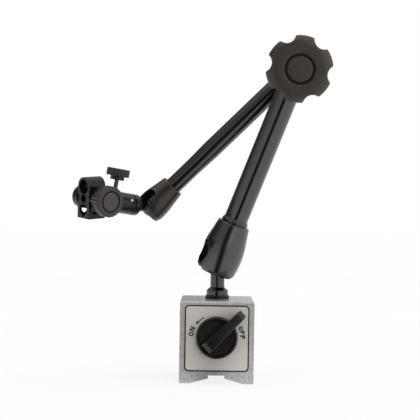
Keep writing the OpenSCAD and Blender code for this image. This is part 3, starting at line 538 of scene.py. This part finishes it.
KNOB_R = 22.4
KNOB_BACK, KNOB_DISC, KNOB_FACE = 9.85, 14.0, 27.0
KNOB_LOBES, SCALLOP_R, SCALLOP_AT, SCALLOP_TURN = 6, 6.5, 25.1, math.radians(12)
knob_edge = rounded_outline(
    cut_circle(KNOB_R, KNOB_LOBES, SCALLOP_R, SCALLOP_AT, SCALLOP_TURN), 0.42, 540)


def crown(r):
    """Height of the knob's top at a radius: flat in the middle, then a soft shoulder."""
    start, fall = 15.7, 3.9
    if r <= start:
        return KNOB_FACE
    f = (r - start) / (KNOB_R - start)
    return KNOB_FACE - fall * (0.35 * f ** 1.5 + 0.65 * f ** 3)


def crowned(outline, drop=0.0):
    return [(x, y, crown(math.hypot(x, y)) - drop) for x, y in outline]


knob_rings = [flat_ring(by_angle(knob_edge, r), z) for r, z in (
    (0.01, KNOB_BACK), (11.0, KNOB_BACK), (11.5, KNOB_BACK + 0.5), (11.8, KNOB_DISC - 1.0),
    (12.4, KNOB_DISC - 0.2), (13.2, KNOB_DISC))]
knob_rings += [
    flat_ring(shrink(knob_edge, 2.6), KNOB_DISC),
    flat_ring(shrink(knob_edge, 1.9), KNOB_DISC + 0.12),
    flat_ring(shrink(knob_edge, 0.7), KNOB_DISC + 1.0),
    flat_ring(shrink(knob_edge, 0.12), KNOB_DISC + 2.0),
    flat_ring(knob_edge, KNOB_DISC + 3.0),
    crowned(knob_edge, 1.3),
    crowned(knob_edge, 0.8),
    crowned(shrink(knob_edge, 0.12), 0.35),
    crowned(shrink(knob_edge, 0.4), 0.08),
    crowned(shrink(knob_edge, 0.8)),
]
inner = shrink(knob_edge, 0.8)
for f in (0.97, 0.94, 0.91, 0.88, 0.84, 0.80, 0.76):
    knob_rings.append(crowned(scaled(inner, f)))
knob_rings += [flat_ring(by_angle(knob_edge, r), z) for r, z in (
    (11.2, KNOB_FACE), (10.7, KNOB_FACE - 0.06), (10.3, KNOB_FACE - 0.4),
    (10.2, KNOB_FACE - 0.9), (10.15, KNOB_FACE - 1.75), (8.0, KNOB_FACE - 1.85), (0.01, KNOB_FACE - 1.9))]
elbow_knob = loft("elbow_knob_shell", KNOB_FRAME, knob_rings, "knob", "elbow_knob")
stands_for("elbow_knob")

cap = lathe("elbow_knob_disc", KNOB_FRAME, fillet([
    (0.0, 25.0), (8.35, 25.0), (8.4, 26.9), (7.6, 27.0), (0.0, 27.0)], 0.35), "cap", "elbow_knob")
stands_for("elbow_knob_cap")


# ---------------------------------------------------------------- small fluted knobs

def fluted(radius, flutes, bite, sink, sigma, count=720):
    """Outline of a knurled knob: round flutes cut into its rim."""
    return rounded_outline(cut_circle(radius, flutes, bite, radius + sink, 0.0), sigma, count)


thumb_rim = fluted(7.85, 16, 0.9, 0.3, 0.13)
thumb_rings = [flat_ring(by_angle(thumb_rim, r), z) for r, z in (
    (0.01, 14.9), (4.3, 14.9), (4.65, 15.0), (4.8, 15.25), (4.8, 17.2), (4.95, 17.42), (5.3, 17.5))]
thumb_rings += [flat_ring(scaled(thumb_rim, f), z) for f, z in (
    (0.90, 17.5), (0.95, 17.53), (0.982, 17.68), (1.0, 17.95), (1.0, 22.2),
    (0.985, 22.48), (0.955, 22.65), (0.91, 22.7))]
thumb_rings += [flat_ring(by_angle(thumb_rim, r), z) for r, z in (
    (5.6, 22.7), (5.3, 22.66), (5.1, 22.45), (4.8, 22.38), (0.01, 22.38))]
thumb_head = loft("thumb_screw_grip", THUMB_FRAME, thumb_rings, "small_knob", "thumb_screw")
stands_for("thumb_screw_head")

clamp_hub = fluted(6.7, 12, 1.0, 0.5, 0.2)
clamp_rim = fluted(10.3, 24, 0.8, 0.4, 0.17)
clamp_rings = [flat_ring(by_angle(clamp_hub, 0.01), 12.75)]
clamp_rings += [flat_ring(scaled(clamp_hub, f), z) for f, z in (
    (0.90, 12.75), (0.95, 12.85), (0.985, 13.05), (1.0, 13.4), (1.0, 20.2))]
clamp_rings += [flat_ring(by_angle(clamp_rim, 7.3), 20.45)]
clamp_rings += [flat_ring(scaled(clamp_rim, f), z) for f, z in (
    (0.90, 20.5), (0.955, 20.55), (0.985, 20.75), (1.0, 21.1), (1.0, 26.3),
    (0.988, 26.62), (0.965, 26.85), (0.93, 26.97), (0.90, 27.0))]
clamp_rings += [flat_ring(by_angle(clamp_rim, r), z) for r, z in (
    (7.5, 27.0), (7.22, 26.93), (7.12, 26.7), (7.08, 25.85), (6.2, 25.8), (0.01, 25.8))]
clamp_grip = loft("clamp_knob_grip", CLAMP_FRAME, clamp_rings, "small_knob", "clamp_knob")
stands_for("clamp_knob")

clamp_disc = lathe("clamp_knob_disc", CLAMP_FRAME, fillet([
    (0.0, 25.8), (6.3, 25.8), (6.33, 26.75), (5.95, 26.95), (0.0, 26.99)], 0.3), "clamp_cap", "clamp_knob")
stands_for("clamp_knob_cap")


# ---------------------------------------------------------------- switch knob

SWITCH_BACK = 29.65
BAR_BACK, BAR_TIP, BAR_WIDE, BAR_THIN, BAR_TURN = -10.6, 24.0, 4.0, 2.7, 44.0
switch_disc = lathe("switch_knob_disc", SWITCH_FRAME, fillet([
    (0.0, SWITCH_BACK), (13.6, SWITCH_BACK), (14.0, SWITCH_BACK + 0.5), (14.0, SWITCH_BACK + 4.6),
    (13.2, SWITCH_BACK + 5.5), (12.3, SWITCH_BACK + 5.5), (11.9, SWITCH_BACK + 3.9),
    (0.0, SWITCH_BACK + 3.9)], 0.5), "switch", "switch", 160)
stands_for("switch_knob")


def switch_bar():
    """The knob's grip: tapered towards its tip, with sloping ends and softened edges."""
    side = [(BAR_BACK, 0.3), (BAR_TIP - 2.0, 1.5), (BAR_TIP, 4.0), (BAR_TIP, 9.5),
            (BAR_TIP - 2.6, 12.5), (BAR_BACK + 3.4, 12.5), (BAR_BACK, 8.9)]
    bm = bmesh.new()
    turn = Matrix.Rotation(math.radians(BAR_TURN), 4, "Z")
    rows = []
    for sign in (-1, 1):
        row = []
        for x, z in side:
            half = BAR_WIDE + (BAR_THIN - BAR_WIDE) * (x - BAR_BACK) / (BAR_TIP - BAR_BACK)
            at = SWITCH_FRAME @ turn @ (Vector((x, sign * half, SWITCH_BACK + z)) * MM)
            row.append(bm.verts.new(at))
        rows.append(row)
    n = len(side)
    for i in range(n):
        j = (i + 1) % n
        bm.faces.new((rows[0][i], rows[0][j], rows[1][j], rows[1][i]))
    bm.faces.new(rows[0][::-1])
    bm.faces.new(rows[1])
    bmesh.ops.bevel(bm, geom=bm.edges[:], offset=0.5 * MM, segments=4, profile=0.5, affect="EDGES")
    o = put("switch_knob_bar", bm, "switch", "switch")
    stands_for("switch_knob")


switch_bar()


# ---------------------------------------------------------------- plate print

PLATE_LOW, PLATE_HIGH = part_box("name_plate")
PLATE_FRONT = PLATE_LOW[1]
PLATE_Z = (PLATE_LOW[2] + PLATE_HIGH[2]) / 2
INK = 0.00006


def plate_point(x, z, lift=INK):
    """A point of the plate, x and z in millimetres from its middle."""
    return Vector((x * MM, PLATE_FRONT - lift, PLATE_Z + z * MM))


def rounded_rect(wide, high, r, steps=10):
    """Outline with rounded corners, wide and high are half its sides."""
    points = []
    for cx, cz, start in ((1, 1, 0), (-1, 1, 90), (-1, -1, 180), (1, -1, 270)):
        for k in range(steps + 1):
            a = math.radians(start + 90 * k / steps)
            points.append((cx * (wide - r) + r * math.cos(a), cz * (high - r) + r * math.sin(a)))
    return points


def ink_band(name, outer, inner_line):
    """A closed printed line between two outlines with the same number of points."""
    bm = bmesh.new()
    n = len(outer)
    rows = []
    for outline, lift in ((outer, 0.0), (outer, INK), (inner_line, INK), (inner_line, 0.0)):
        rows.append([bm.verts.new(plate_point(x, z, lift)) for x, z in outline])
    for low, high in zip(rows, rows[1:] + rows[:1]):
        for i in range(n):
            j = (i + 1) % n
            bm.faces.new((low[i], low[j], high[j], high[i]))
    o = put(name, bm, "ink", "base", smooth=False)
    return o


ink_band("plate_border", rounded_rect(21.75, 22.35, 3.0), rounded_rect(20.75, 21.35, 2.2))


def ink_polygons(name, shapes):
    """Printed shapes, each a list of (x, z) on the plate, made as thin closed prisms."""
    bm = bmesh.new()
    for shape in shapes:
        back = [bm.verts.new(plate_point(x, z, 0.0)) for x, z in shape]
        face = [bm.verts.new(plate_point(x, z)) for x, z in shape]
        n = len(shape)
        for i in range(n):
            j = (i + 1) % n
            bm.faces.new((back[i], back[j], face[j], face[i]))
        bm.faces.new(face)
        bm.faces.new(back[::-1])
    o = put(name, bm, "ink", "base", smooth=False)
    return o


def letter(kind, high, wide, bold):
    """Strokes of one capital letter, its middle at the origin, as convex outlines."""
    h, w, b = high / 2, wide / 2, bold
    if kind == "O":
        steps, strokes = 20, []
        for k in range(steps):
            a0, a1 = 2 * math.pi * k / steps, 2 * math.pi * (k + 1) / steps
            strokes.append([
                (w * math.cos(a0), h * math.sin(a0)), (w * math.cos(a1), h * math.sin(a1)),
                ((w - b) * math.cos(a1), (h - b) * math.sin(a1)),
                ((w - b) * math.cos(a0), (h - b) * math.sin(a0))])
        return strokes
    left = [(-w, -h), (-w + b, -h), (-w + b, h), (-w, h)]
    if kind == "N":
        return [left, [(w - b, -h), (w, -h), (w, h), (w - b, h)],
                [(-w, h), (w - b * 1.1, -h), (w, -h), (-w + b * 1.1, h)]]
    return [left, [(-w + b, h - b), (w, h - b), (w, h), (-w + b, h)],
            [(-w + b, -b * 0.3), (w * 0.8, -b * 0.3), (w * 0.8, b * 0.7), (-w + b, b * 0.7)]]


def word_on_arc(name, word, centre, radius, middle, spread, high, wide, bold):
    """A word round an arc with its letters' heads outwards. middle and spread are angles in degrees."""
    shapes = []
    for k, kind in enumerate(word):
        a = middle + (k - (len(word) - 1) / 2) * spread
        rad = math.radians(a)
        cx, cz = centre[0] + radius * math.cos(rad), centre[1] + radius * math.sin(rad)
        turn = rad - math.pi / 2
        c, s = math.cos(turn), math.sin(turn)
        for stroke in letter(kind, high, wide, bold):
            shapes.append([(cx + x * c - z * s, cz + x * s + z * c) for x, z in stroke])
    return ink_polygons(name, shapes)


PRINT_MIDDLE = (0.0, 0.1)
word_on_arc("plate_word_on", "ON", PRINT_MIDDLE, 17.5, 165.6, -11.4, 3.5, 2.9, 0.85)
word_on_arc("plate_word_off", "OFF", PRINT_MIDDLE, 17.3, 13.6, -10.2, 3.4, 2.5, 0.85)
ink_polygons("plate_arrow", [
    [(-9.0, 14.34), (-13.2, 10.84), (-12.8, 10.36), (-8.6, 13.86)],
    [(-14.0, 9.0), (-11.8, 10.6), (-13.9, 11.6)],
])


# ---------------------------------------------------------------- stage, light and camera

# Angles round the object in degrees, 0 towards the camera and positive to the right, where the
# dark card in front gives way to the softboxes
CARD_RIGHT = (3.0, 14.0)
CARD_LEFT = (14.0, 26.0)
RIGHT_LIGHT = 1.55
TOP_LIGHT = 1.35
CARD_LIGHT = 0.010
# Strength of the floor's painted bounce glow, seen by the object but not by the camera
FLOOR_PAINTED_GLOW = 1.10
FLOOR_SEEN = 0.80


def round_the_object(t, x, y):
    """The angle round the object of a direction or a place, and its mirror image."""
    around = t.math("MULTIPLY", t.math("ARCTAN2", x, t.math("MULTIPLY", y, -1.0)), 180 / math.pi)
    return around, t.math("MULTIPLY", around, -1.0)


def studio_world():
    """White to the camera; for the object, two tall side softboxes, one overhead, dark at the front."""
    w = bpy.data.worlds.new("studio")
    bpy.context.scene.world = w
    w.use_nodes = True
    w.node_tree.nodes.clear()
    t = Tree(w.node_tree)
    out = t.node("ShaderNodeOutputWorld")
    direction = t.node("ShaderNodeTexCoord").outputs["Generated"]
    parts = t.node("ShaderNodeSeparateXYZ")
    t.feed(parts.inputs[0], direction)
    x, y, z = parts.outputs
    around, mirror = round_the_object(t, x, y)
    right = t.math("MULTIPLY", t.span(around, *CARD_RIGHT), t.span(around, 95.0, 150.0, 1.0, 0.42))
    right = t.math("MULTIPLY", right, RIGHT_LIGHT)
    left = t.math("MULTIPLY", t.span(mirror, *CARD_LEFT), t.span(mirror, 55.0, 125.0, 1.0, 0.36))
    left = t.math("MULTIPLY", left, t.span(z, 0.10, 0.40, 0.88, 0.52))
    sides = t.math("ADD", t.math("ADD", right, left), CARD_LIGHT)
    top = t.span(z, 0.62, 0.80, 0.0, 1.0)
    both = t.math("ADD", t.math("MULTIPLY", sides, t.math("SUBTRACT", 1.0, top)),
                  t.math("MULTIPLY", top, TOP_LIGHT))
    tint = t.mix(t.span(around, -20.0, 20.0), (1.0, 0.985, 0.955, 1.0), (1.0, 0.985, 1.0, 1.0))
    lit = t.node("ShaderNodeBackground")
    t.feed(lit.inputs["Color"], tint)
    t.feed(lit.inputs["Strength"], both)
    seen = t.node("ShaderNodeBackground")
    seen.inputs["Color"].default_value = (1.0, 1.0, 1.0, 1.0)
    seen.inputs["Strength"].default_value = 1.0
    pick = t.node("ShaderNodeMixShader")
    t.feed(pick.inputs[0], t.node("ShaderNodeLightPath").outputs["Is Camera Ray"])
    t.feed(pick.inputs[1], lit.outputs[0])
    t.feed(pick.inputs[2], seen.outputs[0])
    t.feed(out.inputs["Surface"], pick.outputs[0])


def floor_material():
    """Pale floor, near white to the camera with a soft contact shadow.

    In the object's reflections it glows as painted bounce light where the softboxes would light it, dark
    in front as painted shade of the studio's card; the same glow lights the object."""
    m, t, s = new_material("pale_floor")
    where = t.place()
    seen = t.node("ShaderNodeLightPath").outputs["Is Camera Ray"]
    parts = t.node("ShaderNodeSeparateXYZ")
    t.feed(parts.inputs[0], where)
    x, y, _ = parts.outputs
    around, mirror = round_the_object(t, x, y)
    # Painted bounce light: the floor glows where the softboxes would light it, with painted shade in front
    # where the card stands.
    lit = t.math("ADD", t.span(around, *CARD_RIGHT), t.span(mirror, *CARD_LEFT))
    painted_bounce_glow = t.math("ADD", t.math("MULTIPLY", lit, FLOOR_PAINTED_GLOW), 0.008)
    mottle = t.noise(where, 6.0, 3.0, 0.5)
    t.feed(s.inputs["Base Color"], t.mix(seen, grey(0.02), t.mix(mottle, grey(0.17), grey(0.20))))
    s.inputs["Roughness"].default_value = 0.9
    s.inputs["Specular IOR Level"].default_value = 0.0
    s.inputs["Emission Color"].default_value = (1.0, 1.0, 1.0, 1.0)
    pick = t.node("ShaderNodeMix", data_type="FLOAT")
    t.feed(pick.inputs["Factor"], seen)
    t.feed(pick.inputs["A"], painted_bounce_glow)
    pick.inputs["B"].default_value = FLOOR_SEEN
    t.feed(s.inputs["Emission Strength"], pick.outputs["Result"])
    return m


def add_floor(half_size=6.0):
    bm = bmesh.new()
    bmesh.ops.create_grid(bm, x_segments=8, y_segments=8, size=half_size)
    mesh = bpy.data.meshes.new("floor")
    bm.to_mesh(mesh)
    bm.free()
    mesh.materials.append(floor_material())
    floor = bpy.data.objects.new("floor", mesh)
    bpy.context.scene.collection.objects.link(floor)


studio_world()
add_floor()

# The camera looks level along +Y from in front of the base
CAMERA_AT = Vector((-0.0059, -0.859, 0.11625))
ROLL = math.radians(0.9)
FOCAL_PIXELS, FRAME_PIXELS, SENSOR = 1240.0, 420.0, 36.0
lens = bpy.data.cameras.new("camera")
lens.lens = FOCAL_PIXELS / FRAME_PIXELS * SENSOR
lens.sensor_width = SENSOR
lens.clip_start = 0.01
lens.clip_end = 50.0
camera = bpy.data.objects.new("camera", lens)
bpy.context.scene.collection.objects.link(camera)
camera.matrix_world = (Matrix.Translation(CAMERA_AT) @ Matrix.Rotation(math.radians(90), 4, "X")
                       @ Matrix.Rotation(ROLL, 4, "Z"))
bpy.context.scene.camera = camera
bpy.context.scene.view_settings.view_transform = "Standard"
bpy.context.scene.view_settings.look = "None"
